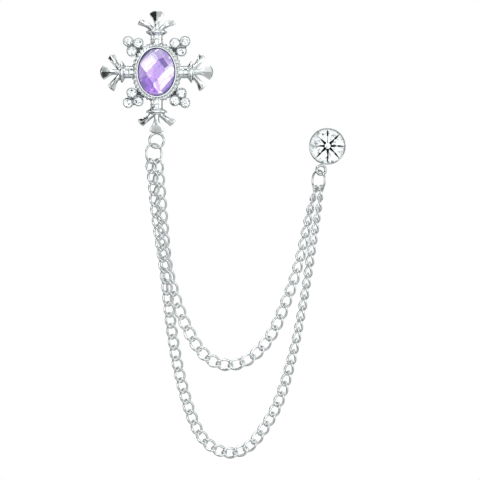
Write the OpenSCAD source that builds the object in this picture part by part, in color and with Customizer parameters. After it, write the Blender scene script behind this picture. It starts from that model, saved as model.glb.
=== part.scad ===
// Lapel chain: a silver brooch with an oval purple stone, two twisted curb chains that
// hang from it in a double swag, and a round crystal stud at their far end.
// Millimetres. X is to the right, Z is up and the front faces -Y. The origin is the
// centre of the brooch's back, where its pin fastens it to cloth.

/* [Oval stone] */
// Width of the oval stone
stone_w = 12.4; // [10.5:0.1:14]
// Height of the oval stone
stone_h = 15.9; // [13.5:0.1:18]
// Rise of the faceted dome above the girdle
stone_dome = 2.9; // [2.2:0.1:3.6]
// Thickness of the stone's straight girdle
stone_girdle = 1.1; // [0.7:0.1:1.5]

/* [Brooch casting] */
// Thickness of the floor behind the stone
floor_t = 1.1; // [0.8:0.1:1.6]
// Wall of the smooth bezel round the stone
bezel_wall = 0.45; // [0.35:0.05:0.8]
// Height of the bezel's lip above the stone's girdle
bezel_lip = 0.6; // [0.3:0.1:0.9]
// Thickness of the flange that carries the rope border
flange_t = 1.5; // [1.2:0.1:2]
// Diameter of the twisted rope border
rope_d = 1.3; // [1:0.05:1.6]
// Distance between the rope's lobes along the border
rope_pitch = 1.1; // [0.9:0.05:1.6]
// Distance from the rope's centreline to an arm's collar
arm_reach = 3.95; // [3.2:0.1:5]
// Depth of an arm from the back to the front of its collar
arm_depth = 3.9; // [3:0.1:5]
// Half width of an arm's collar
collar_hw = 3.4; // [2.8:0.1:4]
// Half width of an arm's neck
neck_hw = 2.1; // [1.6:0.1:2.5]
// Length of a finial beyond its collar
finial_l = 7.5; // [6:0.1:9]
// Half span of a finial over its side prongs
finial_span = 6.1; // [5:0.1:7]
// Half width of the flared end of a finial's centre prong
prong_flare = 2.45; // [1.8:0.05:3]
// Height of the prongs' ridge above the back
prong_ridge = 3.1; // [2.4:0.1:3.6]

/* [Rhinestones] */
// Diameter of a rhinestone's cup
cup_d = 3.56; // [3.2:0.02:4]
// Wall of a rhinestone's cup
cup_wall = 0.26; // [0.2:0.02:0.4]
// Height of a rhinestone's cup above the back
cup_h = 2.4; // [1.9:0.1:3]
// Depth of a rhinestone's cup
cup_depth = 1.1; // [0.8:0.1:1.3]
// Rise of a rhinestone's table above its cup
rhinestone_rise = 0.55; // [0.3:0.05:0.8]
// Place of a trefoil round the oval, from the side arm
trefoil_turn = 46; // [42:1:50]
// Gap between the rope border and a trefoil's cups
trefoil_gap = 0.18; // [0.1:0.02:0.5]

/* [Brooch pin] */
// Length of the pin bar behind the side arms
pin_bar_l = 24; // [20:0.5:26]
// Width of the pin bar
pin_bar_w = 2.2; // [1.8:0.1:2.8]
// Thickness of the pin bar
pin_bar_t = 0.7; // [0.5:0.05:1]
// Diameter of the pin's wire
pin_wire_d = 0.8; // [0.7:0.05:1]
// Distance from the pin bar to the middle of the pin's wire
pin_stand = 2.2; // [1.8:0.1:2.8]
// Length of the hinge block and of the catch block
pin_block_l = 2.2; // [1.8:0.1:3]

/* [Loops and jump rings] */
// Radius of the brooch loop at the middle of its wire
loop_r = 2.42; // [2.1:0.02:3]
// Wire of the brooch loop
loop_wire = 0.82; // [0.7:0.02:0.95]
// Width of a jump ring
ring_w = 6.6; // [5.8:0.1:7.4]
// Height of a jump ring
ring_h = 7.3; // [6.7:0.1:8]
// Wire of a jump ring
ring_wire = 0.7; // [0.6:0.02:0.8]
// Turn of the left jump ring about the vertical, its left side to the front
left_ring_turn = 35; // [30:1:42]
// Turn of the right jump ring about the vertical, its right side to the front
right_ring_turn = 50; // [45:1:55]
// Distance along the left jump ring from its middle to where its loop holds it
left_ring_hook = 0.6; // [0.4:0.05:0.8]
// Distance along the right jump ring from its middle to where its loop holds it
right_ring_hook = 0.85; // [0.7:0.05:1]
// Distance along a jump ring from its middle to where a chain hangs on it
strand_place = 1.35; // [1.25:0.05:1.5]

/* [Chains] */
// Wire of the chain links
link_wire = 0.75; // [0.65:0.05:0.8]
// Length of an inner chain link
inner_link_l = 5.95; // [5.8:0.05:6.2]
// Width of an inner chain link
inner_link_w = 4.1; // [3.9:0.05:4.4]
// Length of an outer chain link
outer_link_l = 5.6; // [5.55:0.05:5.8]
// Width of an outer chain link
outer_link_w = 3.85; // [3.7:0.05:4.1]
// Twist of a link between its two ends
link_twist = 90; // [80:1:100]

/* [Stud] */
// Distance across from the brooch's centre to the stud's
stud_across = 56.9; // [54:0.1:60]
// Distance down from the brooch's centre to the stud's
stud_down = 24.8; // [22:0.1:28]
// Diameter of the stud's bezel cup
stud_d = 12.3; // [11:0.1:13.5]
// Height of the stud's bezel cup
stud_h = 3; // [2.6:0.1:3.6]
// Wall of the stud's bezel cup
stud_wall = 0.35; // [0.3:0.05:0.6]
// Floor of the stud's bezel cup
stud_floor = 0.6; // [0.4:0.1:0.8]
// Rise of the crystal's table above the bezel
crystal_rise = 1.2; // [0.8:0.1:1.6]
// Radius of the stud's loop at the middle of its wire
stud_loop_r = 1.5; // [1.35:0.05:1.8]
// Wire of the stud's loop
stud_loop_wire = 0.9; // [0.75:0.05:1]
// Turn of the stud's loop from straight below the cup
stud_loop_turn = 14.7; // [0:0.1:30]
// Diameter of the hidden post
post_d = 1; // [0.8:0.05:1.2]
// Length of the hidden post, its point included
post_l = 8; // [7:0.5:10]

/* [Fits] */
// Gap between a stone and its setting, and between a loop and a ring
fit_gap = 0.1; // [0.06:0.01:0.15]
// Gap between links in line where they pull on each other
link_clear = 0.34; // [0.3:0.01:0.36]
// Height of a jump ring's wire above the bottom wire of the loop that it hangs on
ring_seat = 0.45; // [0.4:0.01:0.6]

/* [Hidden] */

// The overlap of solids that are one casting
JOIN = 0.05;
FRONT = [0, -1, 0];

// Oval outlines, each as half its width and half its height
STONE_OVAL = [stone_w, stone_h] / 2;
BEZEL_IN = STONE_OVAL + [fit_gap, fit_gap];
BEZEL_OUT = BEZEL_IN + [bezel_wall, bezel_wall];
ROPE_OVAL = BEZEL_OUT + [rope_d, rope_d] * 0.53;
FLANGE_OVAL = ROPE_OVAL + [rope_d, rope_d] * 0.2;
GIRDLE_LOW = floor_t + fit_gap;
GIRDLE_TOP = GIRDLE_LOW + stone_girdle;
BEZEL_TOP = GIRDLE_TOP + bezel_lip;

// Sides of the meshed curves
OVAL_SIDES = 40;
STONE_SIDES = 24;
CUP_SIDES = 12;
WEB_SIDES = 5;
LOOP_SIDES = 16;
WIRE_SIDES = 6;
ARM_SIDES = 8;
RINGS_PER_LOBE = 3;
ROPE_SIDES = 4;
LINK_SIDES = 10;
LINK_WIRE_SIDES = 5;
ROUTE_STEPS = 8;

// An arm's turned profile from the oval to the finial's root. The columns are the
// distance from the collar's plane as a share of the arm's reach, and the half width
// as a share of the way from the neck to the collar
ARM_PROFILE = [
    [-1.00, -0.50], [-0.72, -0.25], [-0.65, 0.05], [-0.55, 0.05], [-0.50, -0.20],
    [-0.22, 0.10], [-0.12, 0.50], [0.00, 1.00], [0.09, 1.00],
    [0.12, 0.40], [0.26, 0.60], [0.28, 0.00]
];

// The centre prong, one row a section. The columns are the distance out as a share of
// the finial's length, the half width and the ridge's half width as shares of the flare,
// and the ridge's height as a share of the way from the edge to the ridge
CENTRE_PRONG = [
    [0.02, 0.42, 0.03, 0.90], [0.18, 0.36, 0.03, 1.00], [0.37, 0.31, 0.03, 1.00],
    [0.47, 0.37, 0.04, 1.00], [0.63, 0.58, 0.30, 0.75], [0.76, 0.86, 0.58, 0.45],
    [0.82, 1.00, 0.70, 0.35], [0.91, 0.66, 0.46, 0.25], [1.00, 0.12, 0.08, 0.15]
];

// A side prong, one row a section. The columns are the distance out as a share of the
// finial's length, the distance aside as a share of its half span, the way it points
// from straight out, and the half width, ridge's half width and ridge as above
SIDE_PRONG = [
    [0.08, 0.17, 45, 0.34, 0.03, 0.90], [0.21, 0.32, 46, 0.30, 0.03, 0.95],
    [0.36, 0.56, 51, 0.32, 0.04, 0.95], [0.45, 0.76, 50, 0.44, 0.20, 0.60],
    [0.50, 0.86, 48, 0.51, 0.34, 0.40], [0.54, 0.92, 47, 0.28, 0.18, 0.25]
];

// The chains' routes from ring to ring, whose ends the jump rings set. The columns are
// x, depth y, z and the roll of the links about the chain
INNER_ROUTE = [
    [0.8, -1.5, -36, 0], [1.6, -1.4, -46, 0], [2.4, -1.3, -56, 0], [3.4, -1.3, -65, 0],
    [5.8, -1.4, -74, 0], [8.6, -1.6, -82, 0], [12.5, -2, -89.8, 0], [15.2, -2, -93.6, 0],
    [19, -2, -96.6, 0], [23, -2, -97.8, 0], [27, -2, -97.5, 0], [31, -2, -95.6, 5],
    [34.5, -2, -92.7, 10], [39, -2, -86.5, 20], [42.2, -2, -79, 28], [45.4, -1.8, -70.5, 40],
    [48, -1.5, -61.5, 51], [49.8, -1.1, -53, 60], [51.2, -0.9, -46, 72]
];
OUTER_ROUTE = [
    [-1, -3.6, -36, 0], [-0.2, -3.7, -45, 0], [1.2, -3.8, -55, 0], [2.6, -3.8, -64, 0],
    [3.5, -3.7, -71, 0], [4.3, -3.4, -79, 0], [5.4, -2.7, -88, 0], [6.9, -2.2, -97, 0],
    [9, -2, -106, 0], [11.6, -2, -114.5, 0], [14.6, -2, -121, 0], [17.4, -2, -124.2, 0],
    [20.8, -2, -126.3, 0], [24.4, -2, -127.1, 0], [28, -2, -126.5, 0], [31.5, -2, -124.4, 5],
    [36, -2, -118.5, 12], [39.8, -2, -112, 20], [42.6, -2, -104.5, 30],
    [44.8, -2, -96.5, 45], [46.8, -2, -88, 56], [48.6, -2.1, -78.5, 60], [50.2, -2.3, -69, 60],
    [51.7, -2.9, -58.5, 56], [53.3, -3.1, -49, 71], [54.2, -2.9, -44, 83]
];

// Loops and rings, each centre worked out from what carries it
LOOP_AT = [0, -prong_ridge / 2, loop_wire * 0.3 - ROPE_OVAL[1] - arm_reach - finial_l - loop_r];
STUD_AT = [stud_across, 0, -stud_down];
STUD_LOOP_OUT = stud_d / 2 + stud_loop_r + stud_loop_wire / 2 + fit_gap;
STUD_LOOP_Y = -stud_h * 0.82;
STUD_LOOP_AT = STUD_AT + [
    -sin(stud_loop_turn) * STUD_LOOP_OUT, STUD_LOOP_Y, -cos(stud_loop_turn) * STUD_LOOP_OUT
];
RING_R = (ring_w - ring_wire) / 2;
RING_STRAIGHT = ring_h - ring_w;
RING_ASIDE = 0.18;
LEFT_RING_AT = ring_centre(LOOP_AT, loop_r, loop_wire, left_ring_turn, left_ring_hook);
RIGHT_RING_AT = ring_centre(STUD_LOOP_AT, stud_loop_r, stud_loop_wire, -right_ring_turn, right_ring_hook);

// Distance from a jump ring's centre up or down to its wire at a place along it
function ring_drop(s) = RING_STRAIGHT / 2 + sqrt(RING_R * RING_R - s * s);

// A jump ring's centre, hung a little to the left of the middle of a loop
function ring_centre(loop_at, r, wire, turn, hook) = [
    loop_at[0] - RING_ASIDE * r - hook * cos(turn),
    loop_at[1] - hook * sin(turn),
    loop_at[2] - r + (wire + ring_wire) / 2 + ring_seat - ring_drop(hook)
];

// The first or last joint of a chain, just above the ring's wire that it hangs on
function ring_joint(at, turn, s, roll) = [
    at[0] + s * cos(turn),
    at[1] + s * sin(turn),
    at[2] - ring_drop(s) + ring_wire / 2 + link_clear * 0.75,
    roll
];

// A point of an oval, and the way straight out of the oval there
function oval_at(oval, t) = [oval[0] * cos(t), oval[1] * sin(t)];
function oval_out(oval, t) = atan2(oval[0] * sin(t), oval[1] * cos(t));
function oval_round(oval) =
    PI * (3 * (oval[0] + oval[1]) - sqrt((3 * oval[0] + oval[1]) * (oval[0] + 3 * oval[1])));

function unit(v) = v / norm(v);
function ring_of(r, z, count, turn = 0) =
    [for (i = [0:count - 1]) [r * cos(360 * i / count + turn), r * sin(360 * i / count + turn), z]];
function oval_of(oval, z, count) =
    [for (i = [0:count - 1]) [oval[0] * cos(360 * i / count), oval[1] * sin(360 * i / count), z]];

// Faces of a swept tube: each ring of points joins the next, and the last one the first
// where the tube is closed. Otherwise its two ends are capped
function tube_faces(rings, sides, closed = true, base = 0) = concat(
    [for (i = [0:rings - (closed ? 1 : 2)]) for (j = [0:sides - 1])
        let (a = base + i * sides + j, b = base + i * sides + (j + 1) % sides,
             c = base + ((i + 1) % rings) * sides + (j + 1) % sides,
             d = base + ((i + 1) % rings) * sides + j)
        each [[a, d, c], [a, c, b]]],
    closed ? [] : [
        [for (j = [0:sides - 1]) base + j],
        [for (j = [sides - 1:-1:0]) base + (rings - 1) * sides + j]
    ]
);

// Turns what is drawn lying face up, its back on the ground, to stand and face the front
module facing() {
    rotate([90, 0, 0]) children();
}

module oval_wall(oval, low, high) {
    translate([0, 0, low])
        linear_extrude(high - low)
            scale(oval) circle(r = 1 / cos(180 / OVAL_SIDES), $fn = OVAL_SIDES);
}

// Smooth bezel on the brooch's floor, with the flange outside it
module bezel() {
    difference() {
        union() {
            oval_wall(FLANGE_OVAL, 0, flange_t);
            oval_wall(BEZEL_OUT, 0, BEZEL_TOP);
        }
        oval_wall(BEZEL_IN, floor_t, BEZEL_TOP + 1);
    }
}

// Two-strand rope laid round the bezel: a bar of lens section that turns as it goes
ROPE_LOBES = round(oval_round(ROPE_OVAL) / rope_pitch);
ROPE_RINGS = ROPE_LOBES * RINGS_PER_LOBE;
ROPE_WAIST = 0.68;
ROPE_HIGH = flange_t + rope_d * 0.18;

function rope_point(i, j) =
    let (t = 360 * (i + 0.37) / ROPE_RINGS, out = oval_out(ROPE_OVAL, t),
         a = 360 * j / ROPE_SIDES - 180 * i / RINGS_PER_LOBE,
         r = rope_d / 2 * (j % 2 == 0 ? 1 : ROPE_WAIST), p = oval_at(ROPE_OVAL, t))
    [p[0] + r * sin(a) * cos(out), p[1] + r * sin(a) * sin(out), ROPE_HIGH + r * cos(a)];

module rope_border() {
    polyhedron(
        points = [for (i = [0:ROPE_RINGS - 1]) for (j = [0:ROPE_SIDES - 1]) rope_point(i, j)],
        faces = tube_faces(ROPE_RINGS, ROPE_SIDES),
        convexity = 6
    );
}

// One arm lies along +X with its collar's plane at x = 0
ARM_AXIS = arm_depth * 0.42;
ARM_SQUASH = (arm_depth - ARM_AXIS) / collar_hw;
PRONG_EDGE = prong_ridge * 0.5;
PRONG_BACK = prong_ridge * 0.2;

// The half width of each row, and the height of the point at a share of the way round
// from the back's left to its right, where the turned shape is squashed and cut flat
function arm_hw(row) = neck_hw + row[1] * (collar_hw - neck_hw);
function arm_point(row, a) =
    let (r = arm_hw(row) / cos(180 / ARM_SIDES))
    [row[0] * arm_reach, r * cos(a), max(0, ARM_AXIS + r * ARM_SQUASH * sin(a))];

module arm_post() {
    polyhedron(
        points = [for (row = ARM_PROFILE) for (k = [0:ARM_SIDES - 1])
            arm_point(row, 360 * (k + 0.5) / ARM_SIDES)],
        faces = tube_faces(len(ARM_PROFILE), ARM_SIDES, false),
        convexity = 6
    );
}

// The six points of a prong's section, round from the back's left corner
function prong_section(x, y, turn, half, ridge_half, ridge) =
    let (high = PRONG_EDGE + (prong_ridge - PRONG_EDGE) * ridge)
    [for (p = [[half, PRONG_BACK], [half, PRONG_EDGE], [ridge_half, high],
               [-ridge_half, high], [-half, PRONG_EDGE], [-half, PRONG_BACK]])
        [x - p[0] * sin(turn), y + p[0] * cos(turn), p[1]]];

module prong(sections) {
    polyhedron(
        points = [for (s = sections) each s],
        faces = tube_faces(len(sections), 6, false),
        convexity = 4
    );
}

module finial() {
    prong([for (row = CENTRE_PRONG)
        prong_section(row[0] * finial_l, 0, 0, row[1] * prong_flare, row[2] * prong_flare, row[3])]);
    for (side = [0, 1])
        mirror([0, side, 0])
            prong([for (row = SIDE_PRONG)
                prong_section(row[0] * finial_l, row[1] * finial_span, row[2],
                    row[3] * prong_flare, row[4] * prong_flare, row[5])]);
}

module arms() {
    for (turn = [0:90:270]) {
        half = turn % 180 == 0 ? ROPE_OVAL[0] : ROPE_OVAL[1];
        rotate([0, 0, turn])
            translate([half + arm_reach, 0, 0]) {
                arm_post();
                finial();
            }
    }
}

// Three cups in a trefoil outside the rope, their outermost straight out from the oval
CUP_SPACING = cup_d - JOIN;
CUP_OUT = CUP_SPACING / sqrt(3);
CUP_SEAT = cup_h - cup_depth;
TREFOIL_OUT = rope_d / 2 + trefoil_gap + cup_d / 2 + CUP_OUT / 2;
TREFOILS = [trefoil_turn, 180 - trefoil_turn, 180 + trefoil_turn, 360 - trefoil_turn];

function trefoil_centre(t) =
    oval_at(ROPE_OVAL, t) + TREFOIL_OUT * [cos(oval_out(ROPE_OVAL, t)), sin(oval_out(ROPE_OVAL, t))];
function cup_centre(t, k) =
    let (a = oval_out(ROPE_OVAL, t) + 120 * k)
    trefoil_centre(t) + CUP_OUT * [cos(a), sin(a)];

module post_at(p, r, h, sides = CUP_SIDES) {
    translate([p[0], p[1], 0]) cylinder(r = r, h = h, $fn = sides);
}

module trefoil(t) {
    web_r = cup_d * 0.27;
    difference() {
        union() {
            for (k = [0:2]) post_at(cup_centre(t, k), cup_d / 2, cup_h);
            hull()
                for (k = [0:2]) post_at(cup_centre(t, k), web_r, floor_t, WEB_SIDES);
            hull() {
                post_at(trefoil_centre(t), web_r, floor_t * 0.8, WEB_SIDES);
                post_at(oval_at(ROPE_OVAL - [rope_d, rope_d] / 2, t), web_r, floor_t * 0.8, WEB_SIDES);
            }
        }
        for (k = [0:2])
            translate([0, 0, CUP_SEAT])
                post_at(cup_centre(t, k), cup_d / 2 - cup_wall, cup_depth + 1);
    }
}

module wire_loop(r, wire) {
    rotate_extrude($fn = LOOP_SIDES)
        translate([r, 0]) circle(d = wire, $fn = WIRE_SIDES);
}

module brooch_frame() {
    color("silver")
        facing() {
            bezel();
            rope_border();
            arms();
            for (t = TREFOILS) trefoil(t);
            translate([LOOP_AT[0], LOOP_AT[2], -LOOP_AT[1]]) wire_loop(loop_r, loop_wire);
        }
}

// Checkerboard dome: the corners of its facets lie on one bowl, spaced so that each
// facet is a flat diamond, and the middle one is the table. A steep band of facets
// runs round it above the girdle
DIAMOND = 0.5;
BOWL = 0.75;
BAND_SLOPE = 9.4;

function dome_point(p, q) =
    [p * STONE_OVAL[0], q * STONE_OVAL[1], GIRDLE_TOP + stone_dome * dome_share(p, q)];
function dome_share(p, q) = 1 + BOWL * DIAMOND * DIAMOND - BOWL * (p * p + q * q);

module oval_stone() {
    color([0.55, 0.4, 0.8])
        facing()
            intersection() {
                hull() polyhedron_cloud([
                    for (i = [-3:3]) for (j = [-3:3])
                        if (abs((i + j) % 2) == 1 && abs(i) + abs(j) < 4)
                            dome_point(i * DIAMOND, j * DIAMOND)
                ], GIRDLE_LOW);
                union() {
                    translate([0, 0, GIRDLE_LOW])
                        linear_extrude(stone_girdle + JOIN)
                            polygon([for (p = oval_of(STONE_OVAL, 0, STONE_SIDES)) [p[0], p[1]]]);
                    band_cone(stone_dome * 1.1);
                }
            }
}

// The steep band's cone, up to a height above the girdle
module band_cone(rise) {
    top = STONE_OVAL * (1 - rise / BAND_SLOPE);
    cloud_hull(concat(
        oval_of(STONE_OVAL, GIRDLE_TOP, STONE_SIDES),
        oval_of(top, GIRDLE_TOP + rise, STONE_SIDES)
    ));
}

// The hull of points and of their shadow at a height below them
module polyhedron_cloud(points, low) {
    cloud_hull(concat(points, [for (p = points) [p[0], p[1], low]]));
}

module cloud_hull(points) {
    hull()
        polyhedron(points = points, faces = [[for (i = [0:len(points) - 1]) i]]);
}

module rhinestone(t, k) {
    at = cup_centre(t, k);
    r = (cup_d / 2 - cup_wall) * cos(180 / CUP_SIDES) - fit_gap;
    low = CUP_SEAT + fit_gap;
    girdle = cup_h - cup_depth * 0.3;
    color([0.9, 0.93, 0.95])
        facing()
            translate([at[0], at[1], 0])
                cloud_hull(concat(
                    ring_of(r, low, 8, 22.5),
                    ring_of(r, girdle, 8, 22.5),
                    ring_of(r * 0.58, cup_h + rhinestone_rise, 8)
                ));
}

// Bar, hinge block, catch block and wire of the brooch's pin, as one plain piece
module brooch_pin() {
    back = -fit_gap;
    color("gainsboro")
        facing() {
            translate([-pin_bar_l / 2, -pin_bar_w / 2, back - pin_bar_t])
                cube([pin_bar_l, pin_bar_w, pin_bar_t]);
            for (side = [-1, 1])
                translate([
                    side * (pin_bar_l - pin_block_l) / 2 - pin_block_l / 2, -pin_bar_w / 2,
                    back - pin_bar_t - pin_stand - pin_wire_d
                ])
                    cube([pin_block_l, pin_bar_w, pin_stand + pin_wire_d + pin_bar_t / 2]);
            translate([pin_block_l / 2 - pin_bar_l / 2, 0, back - pin_bar_t - pin_stand])
                rotate([0, 90, 0])
                    cylinder(d = pin_wire_d, h = pin_bar_l - pin_block_l, $fn = 32);
        }
}

// A jump ring of round wire: two half rings joined by short straight stretches
module jump_ring(at, turn) {
    translate(at)
        rotate([0, 0, turn])
            facing() {
                for (half = [0, 180])
                    rotate([0, 0, half])
                        translate([0, RING_STRAIGHT / 2, 0])
                            rotate_extrude(angle = 180, $fn = 64)
                                translate([RING_R, 0]) circle(d = ring_wire, $fn = 32);
                for (side = [-1, 1])
                    translate([side * RING_R, RING_STRAIGHT / 2, 0])
                        rotate([90, 0, 0])
                            cylinder(d = ring_wire, h = RING_STRAIGHT, $fn = 32);
            }
}

module jump_ring_left() {
    color("silver") jump_ring(LEFT_RING_AT, left_ring_turn);
}

module jump_ring_right() {
    color("silver") jump_ring(RIGHT_RING_AT, -right_ring_turn);
}

// A chain's smooth route through its points, which hold x, y, z and roll
function reach(v) = norm([v[0], v[1], v[2]]);
function route_slope(p, i) =
    let (a = p[max(i - 1, 0)], b = p[min(i + 1, len(p) - 1)])
    (b - a) / (reach(p[i] - a) + reach(b - p[i]));
function route_at(p, i, t) =
    let (run = reach(p[i + 1] - p[i]))
    p[i] * (2 * t * t * t - 3 * t * t + 1) + route_slope(p, i) * run * (t * t * t - 2 * t * t + t)
    + p[i + 1] * (3 * t * t - 2 * t * t * t) + route_slope(p, i + 1) * run * (t * t * t - t * t);
function smooth_route(p) = concat(
    [for (i = [0:len(p) - 2]) for (k = [0:ROUTE_STEPS - 1]) route_at(p, i, k / ROUTE_STEPS)],
    [p[len(p) - 1]]
);
function run_lengths(q) = [
    for (i = 0, s = 0; i < len(q); s = s + (i + 1 < len(q) ? reach(q[i + 1] - q[i]) : 0), i = i + 1) s
];

// Joints between the links, evenly spaced and never further apart than the links reach
function joints(p, pitch) =
    let (q = smooth_route(p), s = run_lengths(q), whole = s[len(s) - 1],
         count = ceil(whole / pitch),
         columns = [for (c = [0:3]) [for (i = [0:len(q) - 1]) [s[i], q[i][c]]]])
    [for (k = [0:count]) [for (c = [0:3]) lookup(whole * k / count, columns[c])]];

// One link between two joints: a flat oval of round wire, twisted about the chain so
// that its ends stand across each other
function link_points(a, b, length, width) =
    let (from = [a[0], a[1], a[2]], to = [b[0], b[1], b[2]], along = unit(to - from),
         side = unit(cross(FRONT, along)), out = cross(along, side),
         half_l = (length - link_wire) / 2, half_w = (width - link_wire) / 2)
    [for (i = [0:LINK_SIDES - 1])
        let (c = cos(360 * i / LINK_SIDES), s = sin(360 * i / LINK_SIDES),
             turn = -(a[3] + b[3]) / 2 - link_twist / 2 * c,
             turning = link_twist / 2 * PI / 180 * s,
             across = [0, cos(turn), sin(turn)], through = [0, -sin(turn), cos(turn)],
             middle = [half_l * c, 0, 0] + half_w * s * across,
             forward = unit([-half_l * s, 0, 0] + half_w * c * across + half_w * s * turning * through),
             up = unit(through - forward * (forward * through)), aside = cross(forward, up))
        for (j = [0:LINK_WIRE_SIDES - 1])
            let (w = 360 * j / LINK_WIRE_SIDES,
                 p = middle + link_wire / 2 * (cos(w) * up + sin(w) * aside))
            (from + to) / 2 + p[0] * along + p[1] * side + p[2] * out];

module chain(route, length, width) {
    j = joints(route, length - 2 * link_wire - link_clear);
    points = [for (k = [0:len(j) - 2]) each link_points(j[k], j[k + 1], length, width)];
    faces = [for (k = [0:len(j) - 2])
        each tube_faces(LINK_SIDES, LINK_WIRE_SIDES, base = k * LINK_SIDES * LINK_WIRE_SIDES)];
    polyhedron(points = points, faces = faces, convexity = 10);
}

module inner_chain() {
    color("lightgray")
        chain(concat(
            [ring_joint(LEFT_RING_AT, left_ring_turn, strand_place, 0)],
            INNER_ROUTE,
            [ring_joint(RIGHT_RING_AT, -right_ring_turn, -strand_place, 95)]
        ), inner_link_l, inner_link_w);
}

module outer_chain() {
    color("darkgray")
        chain(concat(
            [ring_joint(LEFT_RING_AT, left_ring_turn, -strand_place, 0)],
            OUTER_ROUTE,
            [ring_joint(RIGHT_RING_AT, -right_ring_turn, strand_place, 95)]
        ), outer_link_l, outer_link_w);
}

// Bezel cup of the stud, with its loop soldered on by a short tab and its hidden post
CRYSTAL_R = stud_d / 2 - stud_wall - fit_gap;
POST_POINT = post_d;

module stud_cup() {
    tab_in = stud_d / 2 - stud_wall / 2;
    color("silver")
        translate([STUD_AT[0], 0, STUD_AT[2]])
            facing() {
                rotate_extrude($fn = 96)
                    polygon([
                        [0, 0], [stud_d / 2, 0], [stud_d / 2 - stud_wall * 0.4, stud_h],
                        [stud_d / 2 - stud_wall, stud_h], [stud_d / 2 - stud_wall, stud_floor],
                        [0, stud_floor]
                    ]);
                rotate([0, 0, -90 - stud_loop_turn])
                    translate([0, 0, -STUD_LOOP_Y]) {
                        translate([STUD_LOOP_OUT, 0, 0])
                            rotate_extrude($fn = 64)
                                translate([stud_loop_r, 0]) circle(d = stud_loop_wire, $fn = 32);
                        translate([tab_in, 0, 0])
                            rotate([0, 90, 0])
                                cylinder(
                                    d = stud_loop_wire * 0.8,
                                    h = STUD_LOOP_OUT - stud_loop_r - tab_in, $fn = 32
                                );
                    }
                translate([0, 0, POST_POINT - post_l])
                    cylinder(d = post_d, h = post_l - POST_POINT + stud_floor / 2, $fn = 32);
                translate([0, 0, -post_l])
                    cylinder(d1 = post_d * 0.2, d2 = post_d, h = POST_POINT, $fn = 32);
            }
}

// Round brilliant: table, eight star corners, girdle of 16 sides and a pointed back
module stud_stone() {
    girdle = stud_h - 0.7;
    top = stud_h + crystal_rise;
    culet = stud_floor + fit_gap;
    color([0.92, 0.95, 0.97])
        translate([STUD_AT[0], 0, STUD_AT[2]])
            facing()
                cloud_hull(concat(
                    ring_of(CRYSTAL_R * 0.56, top, 8),
                    ring_of(CRYSTAL_R * 0.8, girdle + (top - girdle) * 0.6, 8, 22.5),
                    ring_of(CRYSTAL_R, girdle, 16, 11.25),
                    ring_of(CRYSTAL_R, girdle - 0.4, 16, 11.25),
                    [[0, 0, culet]]
                ));
}

brooch_frame();
oval_stone();
brooch_pin();
for (i = [1:12])
    rhinestone(TREFOILS[floor((i - 1) / 3)], (i - 1) % 3);
jump_ring_left();
inner_chain();
outer_chain();
jump_ring_right();
stud_cup();
stud_stone();
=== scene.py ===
"""Looks of the lapel chain: silver castings, twisted links and foil-backed stones.

Shapes are worked out in millimetres, in the frame of the construction, and turned into
metres where a mesh is made. Face coordinates are x to the right, y up and z out of the
brooch's face. Turns are in degrees.
"""

import random
from itertools import product
from math import atan2, ceil, copysign, cos, degrees, hypot, pi, radians, sin, sqrt

import bmesh
import bpy
from mathutils import Matrix, Vector


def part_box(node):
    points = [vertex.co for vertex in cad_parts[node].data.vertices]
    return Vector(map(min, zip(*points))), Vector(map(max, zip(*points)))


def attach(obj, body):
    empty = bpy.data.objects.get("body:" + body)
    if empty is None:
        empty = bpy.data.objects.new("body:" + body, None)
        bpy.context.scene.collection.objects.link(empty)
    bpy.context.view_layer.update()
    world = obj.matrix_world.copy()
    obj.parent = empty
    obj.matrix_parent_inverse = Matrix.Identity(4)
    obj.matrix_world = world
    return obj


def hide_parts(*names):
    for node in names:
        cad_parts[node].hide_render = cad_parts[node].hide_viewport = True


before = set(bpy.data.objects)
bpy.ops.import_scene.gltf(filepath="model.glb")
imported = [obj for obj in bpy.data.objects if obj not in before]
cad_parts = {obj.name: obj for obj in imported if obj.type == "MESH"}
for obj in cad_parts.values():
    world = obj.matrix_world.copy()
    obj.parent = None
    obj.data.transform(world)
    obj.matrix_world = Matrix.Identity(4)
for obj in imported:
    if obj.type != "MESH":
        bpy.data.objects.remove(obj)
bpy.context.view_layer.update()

MM = 0.001
FRONT = Vector((0, -1, 0))
UP = Vector((0, 0, 1))
ALL_ROUND = Vector((1, 1))
SHARP_ANGLE = 32

# Camera: straight on, opposite the photo's middle, with the photo's width at one depth
CAMERA_AT = Vector((27.8, -452, -56))
SCALE_DEPTH = -2
VIEW_WIDTH = 160
SENSOR = 36

# Oval stone and its setting
STONE_LOW, STONE_HIGH = (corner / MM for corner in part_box("oval_stone"))
STONE_HALF = Vector(((STONE_HIGH.x - STONE_LOW.x) / 2, (STONE_HIGH.z - STONE_LOW.z) / 2))
GIRDLE_LOW = 1.2
GIRDLE_TOP = 2.3
STONE_DOME = 2.9
FLOOR_T = 1.1
BEZEL_OUT = STONE_HALF + ALL_ROUND * 0.55
FLANGE_T = 1.5
ROPE_D = 1.3
ROPE_OVAL = BEZEL_OUT + ALL_ROUND * ROPE_D * 0.53
ROPE_LOBES = 40
ROPE_HIGH = FLANGE_T + ROPE_D * 0.18
STRAND_LAY = ROPE_D * 0.33
STRAND_R = STRAND_LAY * 1.12

# Arms and finials
ARM_REACH = 3.95
ARM_DEPTH = 3.9
ARM_AXIS = ARM_DEPTH * 0.42
ARM_BACK = 0.03
COLLAR_HW = 3.4
NECK_HW = 2.1
ARM_SQUASH = (ARM_DEPTH - ARM_AXIS) / COLLAR_HW
FINIAL_L = 7.5
FINIAL_SPAN = 6.1
PRONG_FLARE = 2.45
PRONG_EDGE = 1.55
PRONG_RISE = 1.55
PRONG_BACK = 0.62
PRONG_CHAMFER = (0.12, 0.15)

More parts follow.
